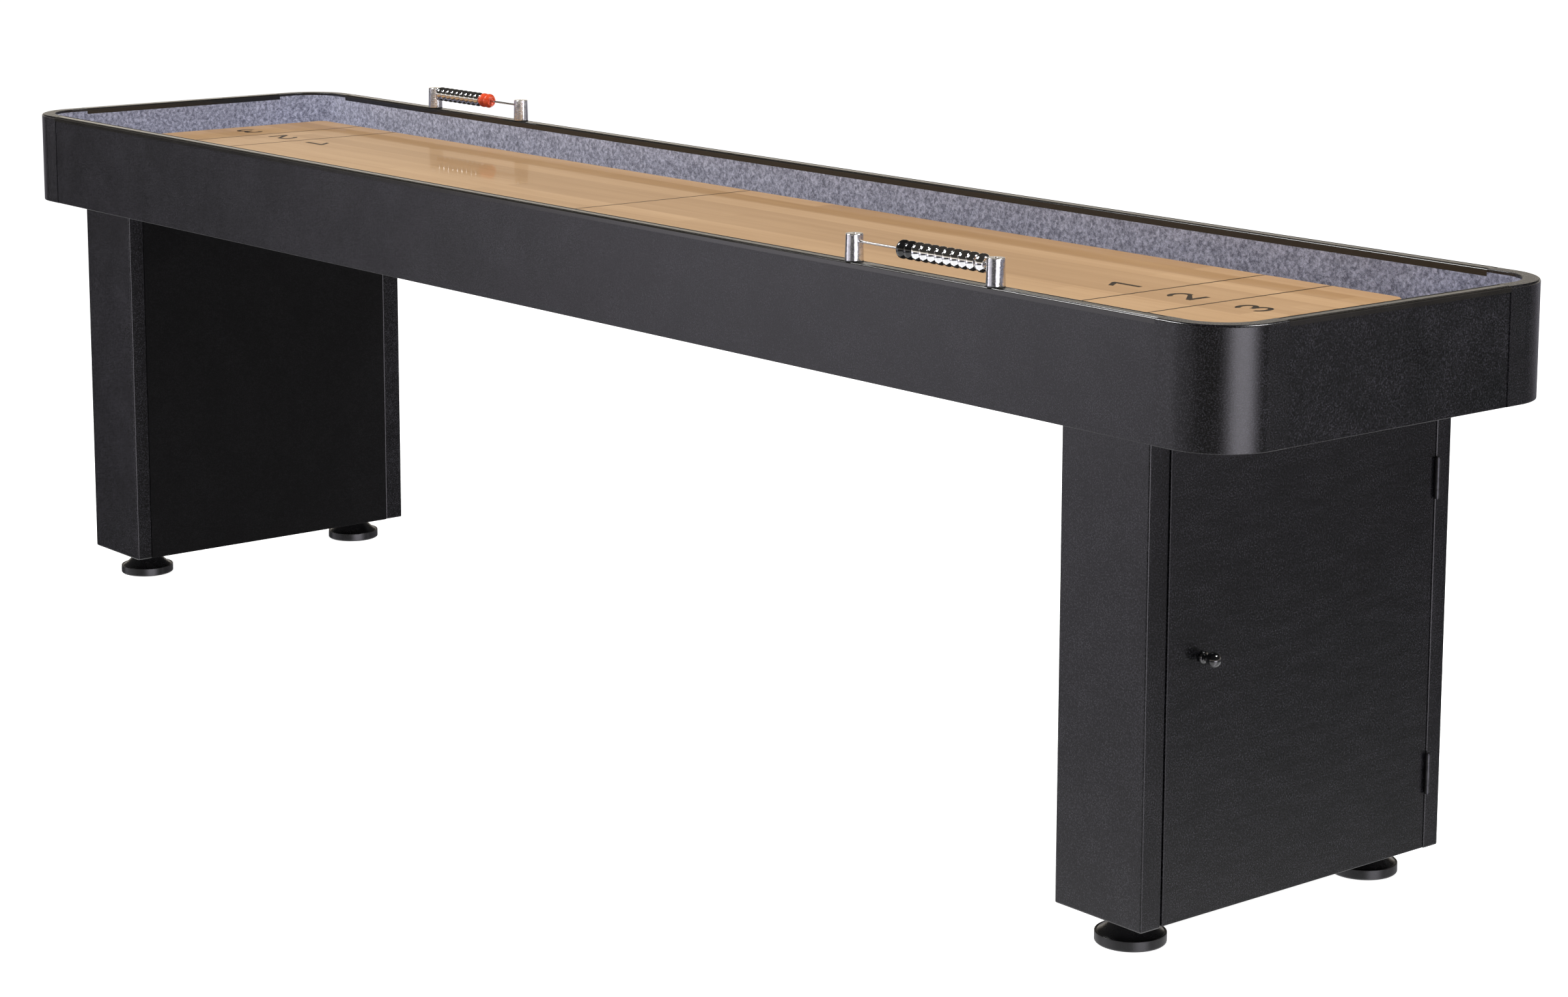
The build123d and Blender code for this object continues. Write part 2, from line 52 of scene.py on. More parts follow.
# ---- sizes read from the frame, in metres ----
CORNER_LOW, CORNER_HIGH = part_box("corner_mouldings")
APRON_LOW, APRON_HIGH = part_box("front_apron")
CAPS_LOW, CAPS_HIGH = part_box("rail_caps")
HALF_X = CORNER_HIGH.x
HALF_Y = CORNER_HIGH.y
RAIL_TOP = CORNER_HIGH.z
SEAM_X = APRON_HIGH.x
BOARD_LOW, BOARD_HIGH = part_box("playfield_board")

# ---- rail sections, as in the design ----
CORNER_RADIUS = 78 * MM
RAIL_WIDTH = 21.5 * MM
CARPET_THICK = 1.2 * MM
CAP_SIDE = 1.2 * MM
CAP_ROOF = 2.4 * MM
CAP_OUTER_LEG = 6.8 * MM

# ---- room brightness seen in reflections: (degrees, level) ----
WORLD_STRENGTH = 6.0
# round the compass below the horizon, from -Y towards +X
CARD_LEVELS = (
    (-180, 0.06), (-90, 0.05), (-75, 0.006), (-59, 0.006), (-56, 0.05), (-52, 0.28), (-48, 0.27),
    (-43, 0.19), (-30, 0.14), (-5, 0.09), (6, 0.02), (46, 0.01), (60, 0.40), (67, 1.0), (93, 1.0),
    (101, 0.40), (108, 0.20), (114, 0.006), (127, 0.006), (131, 0.17), (134, 0.14), (138, 0.02),
    (142, 0.006), (165, 0.04),
)
CARD_TINT = (1.0, 0.965, 1.07)
# how much of the cards is seen at each depth below the horizon, and how bright the floor is there
CARD_DEPTHS = ((0, 1.0), (10, 1.0), (12.5, 0.42), (16, 0.28), (22, 0.2))
FLOOR_DEPTHS = ((0, 0.0), (16, 0.0), (18.5, 0.03), (22, 0.17), (30, 0.18))
# above the horizon
GLOW_LEVELS = (
    (0, 0.20), (5, 0.19), (7, 0.14), (8.6, 0.095), (10.5, 0.055), (13, 0.02), (18, 0.007), (90, 0.007),
)
GLOW_TINT = (1.0, 0.92, 0.80)

# ---- camera: metres, and degrees from -Y towards +X, above the horizon and about the view ----
CAMERA_PLACE = (3.9035, -2.9823, 1.3962)
CAMERA_AZIMUTH = 50.595
CAMERA_ELEVATION = 9.497
CAMERA_ROLL = 0.131
CAMERA_LENS = 79.73
CAMERA_SHIFT = -0.1202

# ---- stage: the floor reaches out towards the horizon, and so does the camera's range ----
FLOOR_HALF = 1500.0
CAMERA_RANGE = 4000.0


# ---------------------------------------------------------------- meshes

def islands(node):
    """The boxes (low, high) of a CAD node's separate solids, sorted by place."""
    bm = bmesh.new()
    bm.from_mesh(frame["nodes"][node].data)
    bmesh.ops.remove_doubles(bm, verts=bm.verts, dist=1e-6)
    left = set(bm.verts)
    boxes = []
    while left:
        stack = [left.pop()]
        found = []
        while stack:
            vert = stack.pop()
            found.append(vert.co.copy())
            for edge in vert.link_edges:
                other = edge.other_vert(vert)
                if other in left:
                    left.remove(other)
                    stack.append(other)
        low = Vector([min(co[i] for co in found) for i in range(3)])
        high = Vector([max(co[i] for co in found) for i in range(3)])
        boxes.append((low, high))
    bm.free()
    return sorted(boxes, key=lambda box: tuple(round(value, 4) for value in (*box[0], *box[1])))


def centre_of(box):
    """The middle of a (low, high) box."""
    return (box[0] + box[1]) / 2


def piece(name, bm, material, body, nodes=(), sharp=38.0):
    """Makes a bmesh into a smooth-shaded piece that rides on a body and may stand for CAD nodes."""
    bmesh.ops.recalc_face_normals(bm, faces=bm.faces)
    mesh = bpy.data.meshes.new(name)
    bm.to_mesh(mesh)
    bm.free()
    mesh.polygons.foreach_set("use_smooth", [True] * len(mesh.polygons))
    mesh.set_sharp_from_angle(angle=math.radians(sharp))
    mesh.materials.append(material)
    obj = bpy.data.objects.new(name, mesh)
    bpy.context.scene.collection.objects.link(obj)
    weighted = obj.modifiers.new("weighted_normals", "WEIGHTED_NORMAL")
    weighted.keep_sharp = True
    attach(obj, body)
    if nodes:
        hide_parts(*nodes)
    return obj


def eased_box(bm, low, high, radius, segments=3):
    """Adds a box whose edges are rounded."""
    size = high - low
    place = Matrix.Translation((low + high) / 2) @ Matrix.Diagonal((*size, 1.0))
    made = bmesh.ops.create_cube(bm, size=1.0, matrix=place)
    edges = {edge for vert in made["verts"] for edge in vert.link_edges}
    bmesh.ops.bevel(bm, geom=list(edges), offset=radius, segments=segments, profile=0.5,
                    affect="EDGES", clamp_overlap=True)


def ring(bm, radius, along, centre, turn, segments):
    """One ring of a turned shape, or a single vertex on its axis."""
    if radius <= 0:
        return [bm.verts.new(centre + turn @ Vector((0, 0, along)))]
    verts = []
    for step in range(segments):
        angle = 2 * math.pi * step / segments
        point = Vector((radius * math.cos(angle), radius * math.sin(angle), along))
        verts.append(bm.verts.new(centre + turn @ point))
    return verts


def bridge(bm, lower, upper):
    """Joins two rings, either of which may be a single vertex."""
    count = max(len(lower), len(upper))
    if count == 1:
        return
    for i in range(count):
        j = (i + 1) % count
        corners = [lower[i % len(lower)], lower[j % len(lower)], upper[j % len(upper)], upper[i % len(upper)]]
        unique = list(dict.fromkeys(corners))
        bm.faces.new(unique)


def lathe(bm, profile, centre, axis="Z", segments=64, closed=False):
    """Adds a turned shape from (radius, along) points, about an axis through centre."""
    turn = Matrix.Rotation(math.pi / 2, 3, "Y") if axis == "X" else Matrix.Identity(3)
    rings = [ring(bm, radius, along, centre, turn, segments) for radius, along in profile]
    for lower, upper in zip(rings, rings[1:]):
        bridge(bm, lower, upper)
    if closed:
        bridge(bm, rings[-1], rings[0])


def arc(centre, radius, start, end, steps):
    """Points on an arc, with angles in degrees. centre and the points are pairs."""
    points = []
    for step in range(steps + 1):
        angle = math.radians(start + (end - start) * step / steps)
        points.append((centre[0] + radius * math.cos(angle), centre[1] + radius * math.sin(angle)))
    return points


def soften(points, reach, steps=4):
    """Rounds the corners of an open run of points, cutting back by up to reach on each side."""
    run = [Vector(point) for point in points]
    smooth = [run[0]]
    for before, corner, after in zip(run, run[1:], run[2:]):
        back = min(reach, (before - corner).length * 0.45)
        ahead = min(reach, (after - corner).length * 0.45)
        start = corner + (before - corner).normalized() * back
        end = corner + (after - corner).normalized() * ahead
        for step in range(steps + 1):
            share = step / steps
            smooth.append(start.lerp(corner, share).lerp(corner.lerp(end, share), share))
    return [tuple(point) for point in smooth + [run[-1]]]


def sweep(bm, section, stations):
    """Sweeps a closed section of (inset, height) points along (outer point, outward) stations."""
    rings = []
    for point, outward in stations:
        verts = []
        for inset, height in section:
            verts.append(bm.verts.new((point.x - outward.x * inset, point.y - outward.y * inset, height)))
        rings.append(verts)
    for lower, upper in zip(rings, rings[1:]):
        bridge(bm, lower, upper)
    bm.faces.new(rings[0])
    bm.faces.new(list(reversed(rings[-1])))


# ---------------------------------------------------------------- rail outline

def bend_station(quarter, share):
    """Outer point and outward direction on the bend of a corner. quarter 0 is the +X +Y corner."""
    angle = math.pi / 2 * (quarter + share)
    outward = Vector((math.cos(angle), math.sin(angle)))
    mid = math.pi / 2 * (quarter + 0.5)
    centre = Vector((
        math.copysign(HALF_X - CORNER_RADIUS, math.cos(mid)),
        math.copysign(HALF_Y - CORNER_RADIUS, math.sin(mid)),
    ))
    return centre + outward * CORNER_RADIUS, outward


def corner_stations(quarter, steps=28):
    """Stations of a corner moulding: straight leg, bend, straight leg."""
    leg = HALF_X - SEAM_X - CORNER_RADIUS
    bend = [bend_station(quarter, step / steps) for step in range(steps + 1)]
    first, last = bend[0], bend[-1]
    tangent_in = Vector((-first[1].y, first[1].x))
    tangent_out = Vector((-last[1].y, last[1].x))
    return [(first[0] - tangent_in * leg, first[1])] + bend + [(last[0] + tangent_out * leg, last[1])]


def straight_stations(quarter, spacing=None):
    """Stations of the straight rail between the corner named and the next one."""
    start, outward = corner_stations(quarter)[-1]
    end = corner_stations((quarter + 1) % 4)[0][0]
    count = 1 if spacing is None else max(1, round((end - start).length / spacing))
    return [(start.lerp(end, step / count), outward) for step in range(count + 1)]


# ---------------------------------------------------------------- materials

class Graph:
    """A node material or world being built: short calls for its texture nodes.

    inputs are the shader's own plain values, named with _ for a space.
    """

    def __init__(self, name="", world=None, **inputs):
        self.material = world or bpy.data.materials.new(name)
        self.material.use_nodes = True
        self.nodes = self.material.node_tree.nodes
        self.links = self.material.node_tree.links
        self.shader = self.nodes.get("Principled BSDF")
        for key, value in inputs.items():
            self.shader.inputs[key.replace("_", " ")].default_value = value
        coords = self.nodes.new("ShaderNodeTexCoord")
        self.object_coords = coords.outputs["Object"]
        self.generated_coords = coords.outputs["Generated"]

    def feed(self, socket, value):
        """Links an output socket, or sets a plain value."""
        if isinstance(value, bpy.types.NodeSocket):
            self.links.new(value, socket)
        else:
            socket.default_value = value

    def coords(self, scale=(1, 1, 1), offset=(0, 0, 0)):
        """Object coordinates, scaled along each axis."""
        mapping = self.nodes.new("ShaderNodeMapping")
        mapping.inputs["Scale"].default_value = scale
        mapping.inputs["Location"].default_value = offset
        self.links.new(self.object_coords, mapping.inputs["Vector"])
        return mapping.outputs["Vector"]

    def noise(self, vector, scale, detail=2.0, roughness=0.5, distortion=0.0):
        """Noise between 0 and 1."""
        texture = self.nodes.new("ShaderNodeTexNoise")
        self.links.new(vector, texture.inputs["Vector"])
        texture.inputs["Scale"].default_value = scale
        texture.inputs["Detail"].default_value = detail
        texture.inputs["Roughness"].default_value = roughness
        texture.inputs["Distortion"].default_value = distortion
        return texture.outputs["Fac"]

    def ramp(self, fac, *stops):
        """Colour ramp through (position, colour) stops; a plain number is a grey."""
        element = self.nodes.new("ShaderNodeValToRGB")
        self.links.new(fac, element.inputs["Fac"])
        band = element.color_ramp.elements
        while len(band) < len(stops):
            band.new(0.5)
        for slot, (position, colour) in zip(band, stops):
            slot.position = position
            rgb = (colour,) * 3 if isinstance(colour, (int, float)) else colour
            slot.color = (*rgb, 1.0)
        return element.outputs["Color"]

    def mix(self, fac, first, second, blend="MIX"):
        """Colour mix."""
        element = self.nodes.new("ShaderNodeMix")
        element.data_type = "RGBA"
        element.blend_type = blend
        self.feed(element.inputs["Factor"], fac)
        colour_a, colour_b, result = element.inputs[6], element.inputs[7], element.outputs[2]
        for socket, value in ((colour_a, first), (colour_b, second)):
            self.feed(socket, (*value, 1.0) if isinstance(value, tuple) else value)
        return result

    def math(self, operation, first, second=0.0):
        """Arithmetic on two values."""
        element = self.nodes.new("ShaderNodeMath")
        element.operation = operation
        self.feed(element.inputs[0], first)
        self.feed(element.inputs[1], second)
        return element.outputs["Value"]

    def span(self, fac, low, high):
        """Maps 0 to 1 onto low to high."""
        element = self.nodes.new("ShaderNodeMapRange")
        self.links.new(fac, element.inputs["Value"])
        element.inputs["To Min"].default_value = low
        element.inputs["To Max"].default_value = high
        return element.outputs["Result"]

    def bump(self, height, distance, strength):
        """Bump whose height is in metres at full strength."""
        element = self.nodes.new("ShaderNodeBump")
        self.links.new(height, element.inputs["Height"])
        element.inputs["Distance"].default_value = distance
        element.inputs["Strength"].default_value = strength
        return element.outputs["Normal"]

    def set(self, name, socket):
        """Links a socket to one of the shader's inputs."""
        self.links.new(socket, self.shader.inputs[name])


def laminate(name, cloud=(16, 16, 16), rough=(0.18, 0.28), specular=0.5, grain=0.00010,
             painted_glint=(0.0250, 0.0240, 0.0300)):
    """Black laminate pressed with a fine pebble, over a soft cloudy mottling; pale flecks on the pebble's
    high points are painted glints, so that it sparkles a little.
    """
    graph = Graph(name, Specular_IOR_Level=specular)
    coords = graph.coords()
    pebble = graph.noise(coords, 560, detail=3.0, roughness=0.8)
    mottle = graph.noise(graph.coords(scale=cloud), 1.0, detail=5.0, roughness=0.65)
    tone = graph.math("ADD", graph.math("MULTIPLY", pebble, 0.85), graph.math("MULTIPLY", mottle, 0.15))
    # The pale end of this ramp paints the pebble's glints into the base colour: painted highlight.
    graph.set("Base Color", graph.ramp(tone, (0.47, (0.0006, 0.0006, 0.0009)), (0.64, painted_glint)))
    graph.set("Roughness", graph.span(tone, rough[0], rough[1]))
    graph.set("Normal", graph.bump(pebble, grain, 0.5))
    return graph.material


def satin_plastic(name, dark, light, rough_low, rough_high, pebble_scale=260.0, pebble_height=0.00006):
    """Moulded plastic with a slight orange peel and uneven gloss."""
    graph = Graph(name, Specular_IOR_Level=0.5)
    coords = graph.coords()
    peel = graph.noise(coords, pebble_scale, detail=2.0)
    wear = graph.noise(coords, 22, detail=4.0, roughness=0.65)
    graph.set("Base Color", graph.ramp(wear, (0.3, dark), (0.7, light)))
    graph.set("Roughness", graph.span(wear, rough_low, rough_high))
    graph.set("Normal", graph.bump(peel, pebble_height, 0.5))
    return graph.material


def gloss_plastic(name, dark, light, roughness=0.08):
    """Polished plastic: a clear reflection over a faintly mottled colour."""
    graph = Graph(name, Specular_IOR_Level=0.5, Coat_Weight=0.6, Coat_Roughness=0.04)
    coords = graph.coords()
    mottle = graph.noise(coords, 140, detail=3.0)
    smear = graph.noise(coords, 45, detail=3.0)
    graph.set("Base Color", graph.ramp(mottle, (0.35, dark), (0.65, light)))
    graph.set("Roughness", graph.span(smear, roughness, roughness + 0.12))
    graph.set("Normal", graph.bump(mottle, 0.00002, 0.3))
    return graph.material


def metal(name, dark, light, rough_low, rough_high, ripple=0.00002, ripple_scale=90.0):
    """Plated metal with uneven polish and a slight cast ripple."""
    graph = Graph(name, Metallic=1.0)
    coords = graph.coords()
    smear = graph.noise(coords, 160, detail=4.0, roughness=0.65)
    wave = graph.noise(coords, ripple_scale, detail=2.0)
    graph.set("Base Color", graph.ramp(smear, (0.3, dark), (0.7, light)))
    graph.set("Roughness", graph.span(smear, rough_low, rough_high))
    graph.set("Normal", graph.bump(wave, ripple, 0.6))
    return graph.material


def carpet(name):
    """Heathered blue-grey needle felt: pale, mid and dark fibres mixed at millimetre scale."""
    graph = Graph(name, Specular_IOR_Level=0.15, Sheen_Weight=0.35, Sheen_Roughness=0.5)
    coords = graph.coords()
    fibre = graph.noise(coords, 800, detail=4.0, roughness=0.8, distortion=1.0)
    clump = graph.noise(coords, 180, detail=3.0, roughness=0.65, distortion=0.5)
    patch = graph.noise(coords, 14, detail=2.0)
    tone = graph.math("ADD", graph.math("MULTIPLY", fibre, 0.5), graph.math("MULTIPLY", clump, 0.5))
    yarn = graph.ramp(tone, (0.40, (0.13, 0.135, 0.185)), (0.48, (0.31, 0.32, 0.42)),
                      (0.53, (0.46, 0.47, 0.60)), (0.62, (0.72, 0.73, 0.87)))
    shade = graph.ramp(patch, (0.3, 0.92), (0.7, 1.0))
    graph.set("Base Color", graph.mix(1.0, yarn, shade, "MULTIPLY"))
    graph.set("Roughness", graph.span(fibre, 0.82, 1.0))
    graph.set("Normal", graph.bump(tone, 0.0010, 0.8))
    return graph.material


def maple(name):
    """Laminated maple staves under a clear gloss lacquer."""
    graph = Graph(name, Specular_IOR_Level=0.15, Coat_Weight=0.22, Coat_Roughness=0.05, Coat_IOR=1.5)
    staves = graph.nodes.new("ShaderNodeTexBrick")
    staves.offset = 0.37
    staves.offset_frequency = 2
    staves.squash = 1.0
    graph.links.new(graph.coords(offset=(0.31, 0.012, 0)), staves.inputs["Vector"])
    staves.inputs["Color1"].default_value = (0.425, 0.258, 0.128, 1)
    staves.inputs["Color2"].default_value = (0.54, 0.345, 0.185, 1)
    staves.inputs["Mortar"].default_value = (0.345, 0.195, 0.095, 1)
    staves.inputs["Scale"].default_value = 1.0
    staves.inputs["Mortar Size"].default_value = 0.00022
    staves.inputs["Mortar Smooth"].default_value = 0.6
    staves.inputs["Bias"].default_value = 0.1
    staves.inputs["Brick Width"].default_value = 0.74
    staves.inputs["Row Height"].default_value = 0.041
    figure = graph.noise(graph.coords(scale=(1.6, 34, 34)), 1.0, detail=5.0, roughness=0.6, distortion=0.8)
    pores = graph.noise(graph.coords(scale=(60, 2200, 2200)), 1.0, detail=3.0, roughness=0.7)
    broad = graph.noise(graph.coords(scale=(1.1, 6, 6)), 1.0, detail=2.0)
    grain = graph.mix(0.6, graph.ramp(figure, (0.3, (0.84, 0.80, 0.74)), (0.7, (1.0, 1.0, 1.0))),
                      graph.ramp(broad, (0.3, (0.90, 0.87, 0.82)), (0.7, (1.0, 1.0, 1.0))), "MULTIPLY")
    fleck = graph.ramp(pores, (0.30, (0.86, 0.80, 0.72)), (0.48, (1.0, 1.0, 1.0)))
    colour = graph.mix(1.0, staves.outputs["Color"], grain, "MULTIPLY")
    graph.set("Base Color", graph.mix(0.55, colour, fleck, "MULTIPLY"))
    graph.set("Roughness", graph.span(pores, 0.34, 0.5))
    level = graph.noise(graph.coords(scale=(3, 14, 14)), 1.0, detail=2.0)
    graph.set("Normal", graph.bump(level, 0.00012, 0.5))
    return graph.material


def softwood(name):
    """Bare planed softwood."""
    graph = Graph(name, Specular_IOR_Level=0.3)
    rings = graph.noise(graph.coords(scale=(3, 90, 90)), 1.0, detail=4.0, distortion=1.5)
    graph.set("Base Color", graph.ramp(rings, (0.35, (0.36, 0.23, 0.12)), (0.62, (0.58, 0.42, 0.25))))
    graph.set("Roughness", graph.span(rings, 0.6, 0.8))
    graph.set("Normal", graph.bump(rings, 0.0002, 0.6))
    return graph.material


def print_ink(name):
    """Dark brown screen print under lacquer, a little thin in places."""
    graph = Graph(name, Specular_IOR_Level=0.1, Coat_Weight=0.12, Coat_Roughness=0.12)
    thin = graph.noise(graph.coords(scale=(160, 700, 160)), 1.0, detail=3.0)
    graph.set("Base Color", graph.ramp(thin, (0.35, (0.010, 0.006, 0.003)), (0.75, (0.040, 0.024, 0.012))))
    graph.set("Roughness", graph.span(thin, 0.35, 0.5))
    return graph.material


def studio_floor(name):
    """Pale light-table paper: it glows evenly, so that nothing on it casts a dark shadow."""
    graph = Graph(name, Specular_IOR_Level=0.1)
    cloud = graph.noise(graph.coords(), 2.5, detail=3.0)
    graph.set("Base Color", graph.ramp(cloud, (0.3, 0.78), (0.7, 0.82)))
    graph.set("Roughness", graph.span(cloud, 0.85, 0.95))
    graph.set("Emission Color", graph.ramp(cloud, (0.3, 0.98), (0.7, 1.0)))
    graph.shader.inputs["Emission Strength"].default_value = 1.0
    return graph.material


def sine_stops(levels):
    """Ramp stops at the sines of angles in degrees."""
    return [(math.sin(math.radians(degrees)), level) for degrees, level in levels]


def studio_world(name):
    """A dim room: bright cards below the horizon on some sides, and a glow just above it all round."""
    world = bpy.data.worlds.new(name)
    world.use_nodes = True
    graph = Graph(world=world)
    direction = graph.nodes.new("ShaderNodeSeparateXYZ")
    graph.links.new(graph.generated_coords, direction.inputs["Vector"])
    east, north, height = direction.outputs
    turn = graph.math("ARCTAN2", east, graph.math("MULTIPLY", north, -1.0))
    share = graph.math("ADD", graph.math("DIVIDE", turn, 2 * math.pi), 0.5)
    cards = graph.ramp(share, *[(0.5 + degrees / 360, level) for degrees, level in CARD_LEVELS])
    depth = graph.math("MULTIPLY", height, -1.0)
    seen = graph.ramp(depth, *sine_stops(CARD_DEPTHS))
    floor = graph.ramp(depth, *sine_stops(FLOOR_DEPTHS))
    tinted = graph.mix(1.0, graph.mix(1.0, cards, seen, "MULTIPLY"), CARD_TINT, "MULTIPLY")
    below = graph.mix(1.0, tinted, floor, "ADD")
    above = graph.math("GREATER_THAN", height, 0.0)
    glow = graph.mix(1.0, graph.ramp(height, *sine_stops(GLOW_LEVELS)), GLOW_TINT, "MULTIPLY")
    background = graph.nodes["Background"]
    graph.links.new(graph.mix(above, below, glow), background.inputs["Color"])
    background.inputs["Strength"].default_value = WORLD_STRENGTH
    return world


LAMINATE = laminate("black_laminate")
DOOR_LAMINATE = laminate("door_laminate", cloud=(30, 14, 70))
CORNER_PLASTIC = laminate("corner_plastic", rough=(0.20, 0.28), grain=0.00022)
CAP_PLASTIC = satin_plastic("cap_plastic", (0.010, 0.0092, 0.008), (0.015, 0.0138, 0.012), 0.10, 0.18)
# A darker, duller copy of the black laminate: painted shade for the pedestals' inner panels, shelves and
# cabinet floor under the table.
SHADED_INNER_LAMINATE = laminate("shaded_inner_laminate", rough=(0.4, 0.5), specular=0.12, painted_glint=(0.0070, 0.0068, 0.0080))
CARPET = carpet("carpet")
MAPLE = maple("maple")
SOFTWOOD = softwood("softwood")
INK = print_ink("score_ink")
CHROME = metal("chrome", (0.78, 0.78, 0.80), (0.90, 0.90, 0.92), 0.04, 0.12)
POST_CHROME = metal("post_chrome", (0.62, 0.62, 0.63), (0.88, 0.88, 0.89), 0.06, 0.22, 0.00022, 420.0)
ROD_STEEL = metal("rod_steel", (0.42, 0.41, 0.41), (0.60, 0.59, 0.58), 0.14, 0.24)
HINGE_STEEL = metal("hinge_steel", (0.045, 0.045, 0.05), (0.085, 0.085, 0.09), 0.30, 0.42)
ZINC = metal("zinc_plate", (0.45, 0.46, 0.48), (0.62, 0.63, 0.65), 0.25, 0.40)
BLACK_BEAD = gloss_plastic("black_bead", (0.004, 0.004, 0.004), (0.010, 0.010, 0.011))
RED_BEAD = gloss_plastic("red_bead", (0.62, 0.055, 0.016), (0.80, 0.10, 0.035), 0.14)
KNOB_PLASTIC = gloss_plastic("knob_plastic", (0.004, 0.004, 0.005), (0.009, 0.009, 0.010), 0.05)
FOOT_PLASTIC = satin_plastic("foot_plastic", (0.010, 0.010, 0.012), (0.020, 0.020, 0.022), 0.20, 0.34, 180.0)
RUBBER = satin_plastic("rubber", (0.008, 0.008, 0.008), (0.016, 0.016, 0.016), 0.5, 0.7)


# ---------------------------------------------------------------- rail

def panel(name, node, material, radius, body=CABINET):
    """One piece for each solid of a CAD node made of flat panels, with eased edges."""
    bm = bmesh.new()
    for low, high in islands(node):
        eased_box(bm, low, high, radius)
    return piece(name, bm, material, body, [node])


def make_aprons():
    """The four apron panels."""
    for side in ("front", "rear", "left_end", "right_end"):
        panel(f"{side}_apron_panel", f"{side}_apron", LAMINATE, 0.7 * MM)


def corner_section():
    """Moulding section: rounded outer top edge, small foot radius and an inner lip."""
    edge = 3.0 * MM
    foot = 1.2 * MM
    lip = 4.0 * MM
    low = CORNER_LOW.z
    back = RAIL_WIDTH - CARPET_THICK
    section = arc((foot, low + foot), foot, 270, 180, 4)
    section += arc((edge, RAIL_TOP - edge), edge, 180, 90, 8)
    section += arc((RAIL_WIDTH - 1.0 * MM, RAIL_TOP - 1.0 * MM), 1.0 * MM, 90, 0, 4)
    section += [(RAIL_WIDTH, RAIL_TOP - lip), (back, RAIL_TOP - lip), (back, low)]
    return section


def make_corners():
    """The four corner mouldings."""
    names = ("rear_right", "rear_left", "front_left", "front_right")
    for quarter, name in enumerate(names):
        bm = bmesh.new()
        sweep(bm, corner_section(), corner_stations(quarter, 40))
        piece(f"{name}_corner_moulding", bm, CORNER_PLASTIC, CABINET, ["corner_mouldings"])


def cap_section():
    """Cap section: a channel over the apron, with a groove and a round bead along both edges."""
    bead = 2.0 * MM
    groove_depth = 1.2 * MM
    groove_width = 0.9 * MM
    reach = math.degrees(math.asin((bead - groove_depth) / bead))
    inner_leg = RAIL_TOP - CAPS_LOW.z
    outer = arc((bead, RAIL_TOP - bead), bead, 180, reach, 12)
    groove_in = outer[-1][0] + groove_width
    outer += [(groove_in, RAIL_TOP - groove_depth), (groove_in + groove_depth, RAIL_TOP)]
    inner = [(RAIL_WIDTH - inset, height) for inset, height in reversed(outer)]
    channel = [
        (RAIL_WIDTH, RAIL_TOP - inner_leg), (RAIL_WIDTH - CAP_SIDE, RAIL_TOP - inner_leg),
        (RAIL_WIDTH - CAP_SIDE, RAIL_TOP - CAP_ROOF), (CAP_SIDE, RAIL_TOP - CAP_ROOF),
        (CAP_SIDE, RAIL_TOP - CAP_OUTER_LEG), (0.0, RAIL_TOP - CAP_OUTER_LEG),
    ]
    return outer + inner + channel


def make_caps():
    """The cap on each straight rail, a hair shorter than the rail so that its joints show."""
    joint = 0.15 * MM
    names = ("rear", "left_end", "front", "right_end")
    for quarter, name in enumerate(names):
        (start, outward), (end, _) = straight_stations(quarter)
        along = (end - start).normalized()
        bm = bmesh.new()
        sweep(bm, cap_section(), [(start + along * joint, outward), (end - along * joint, outward)])
        piece(f"{name}_rail_cap", bm, CAP_PLASTIC, CABINET, ["rail_caps"], sharp=30.0)


# ---------------------------------------------------------------- carpets

def pile(point, height):
    """Unevenness of the felt at a point, from 0 to about height."""
    coarse = noise.noise(point * 260.0)
    fine = noise.noise(point * 700.0 + Vector((7.0, 3.0, 1.0)))
    return height * (0.5 + 0.3 * coarse + 0.3 * fine)


def make_wall_carpet():
    """The felt on the inner faces, standing up to the caps, and to the lips in the corners."""
    low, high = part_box("wall_carpet")
    under_cap = CAPS_LOW.z
    rows = 22
    spacing = 5.5 * MM
    gap = 0.15 * MM
    runs = []
    for quarter in range(4):
        runs.append((corner_stations(quarter, 26), high.z - gap))
        runs.append((straight_stations(quarter, spacing), under_cap - gap))
    bm = bmesh.new()
    rings = []
    for stations, top in runs:
        for point, outward in stations:
            wall = point - outward * (RAIL_WIDTH - CARPET_THICK)
            face = []
            for row in range(rows + 1):
                height = low.z + (top - low.z) * row / rows
                back = Vector((*wall, height))
                depth = CARPET_THICK - 0.25 * MM + pile(back, 0.7 * MM)
                face.append(bm.verts.new(back - Vector((*outward, 0)) * depth))
            face.append(bm.verts.new((*wall, top)))
            face.append(bm.verts.new((*wall, low.z)))
            rings.append(face)
    for lower, upper in zip(rings, rings[1:] + rings[:1]):
        bridge(bm, lower, upper)
    piece("wall_felt", bm, CARPET, CABINET, ["wall_carpet"], sharp=80.0)


def clamp_to_floor(x, y, inset, radius):
    """The nearest point of the rounded floor outline, drawn in by inset."""
    half_x = HALF_X - inset
    half_y = HALF_Y - inset
    x = max(-half_x, min(half_x, x))
    y = max(-half_y, min(half_y, y))
    over_x = abs(x) - (half_x - radius)
    over_y = abs(y) - (half_y - radius)
    if over_x > 0 and over_y > 0:
        length = math.hypot(over_x, over_y)
        if length > radius:
            x = math.copysign(half_x - radius + over_x * radius / length, x)
            y = math.copysign(half_y - radius + over_y * radius / length, y)
    return x, y


